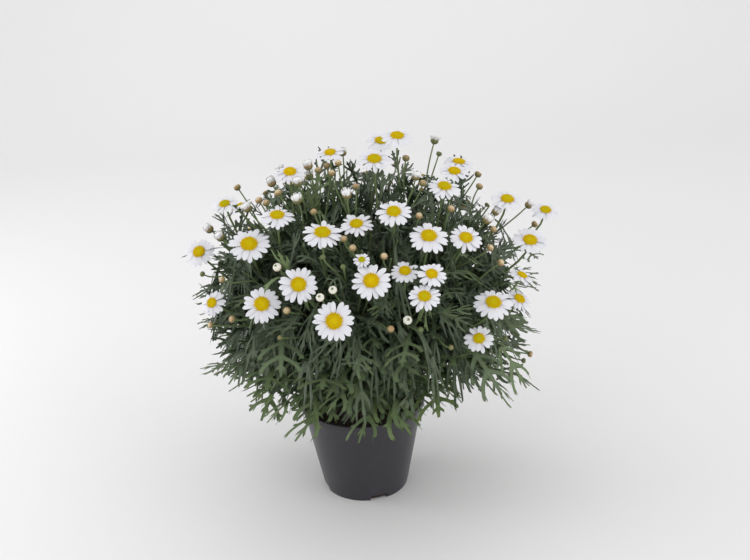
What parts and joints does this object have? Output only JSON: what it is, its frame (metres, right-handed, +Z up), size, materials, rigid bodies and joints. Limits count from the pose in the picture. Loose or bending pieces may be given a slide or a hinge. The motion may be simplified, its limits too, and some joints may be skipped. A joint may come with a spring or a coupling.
{
  "type": "potted marguerite daisy",
  "caption": "Bushy marguerite daisy with white-rayed, yellow-centred flower heads, buds and cut grey-green leaves in a round tapered nursery pot.",
  "frame": {"origin": "centre of the pot's foot, on the surface it stands on", "axes": "+Z up along the pot's axis, -Y to the front, +X to the right as seen from the front"},
  "size_m": [0.5014, 0.4403, 0.5012],
  "materials": {
    "pot": "satin anthracite polypropylene",
    "soil": "moist dark peat, rough",
    "wood": "dull brown bark",
    "leaf": "soft grey-green leaves, matt",
    "rays": "white petals, matt",
    "disc": "bright yellow florets, matt"
  },
  "bodies": {
    "root": {"pot": "pot", "soil": "soil", "woody_base": "wood", "bloom_01": "rays", "bloom_02": "rays", "bloom_03": "rays", "bloom_04_rays": "rays", "bloom_04_disc": "disc", "bloom_05": "rays", "bloom_06": "rays", "bloom_07": "rays", "bloom_08_rays": "rays", "bloom_08_disc": "disc", "bloom_09": "rays", "bloom_10_rays": "rays", "bloom_10_disc": "disc", "bloom_11_rays": "rays", "bloom_11_disc": "disc", "bloom_12_rays": "rays", "bloom_12_disc": "disc", "bloom_13_rays": "rays", "bloom_13_disc": "disc", "bloom_14": "rays", "bloom_15_rays": "rays", "bloom_15_disc": "disc", "bloom_16_rays": "rays", "bloom_16_disc": "disc", "bloom_17_rays": "rays", "bloom_17_disc": "disc", "bloom_18": "rays", "bloom_19": "rays", "bloom_20": "rays", "bloom_21_rays": "rays", "bloom_21_disc": "disc", "bloom_22_rays": "rays", "bloom_22_disc": "disc", "bloom_23": "rays", "bloom_24": "rays", "bloom_25": "rays", "bloom_26": "rays", "bloom_27": "rays", "bloom_28": "rays", "bloom_29_rays": "rays", "bloom_29_disc": "disc", "bloom_30": "rays", "bloom_31": "rays", "bloom_32": "rays", "bloom_33": "rays", "bloom_34": "rays", "bloom_35": "rays", "bloom_36": "rays", "bloom_37": "rays", "bloom_38": "rays", "bloom_39": "rays", "bloom_40": "rays", "branch_left": "leaf", "branch_front": "leaf", "branch_front_right": "leaf", "branch_right": "leaf", "branch_back": "leaf"}
  },
  "joints": []
}
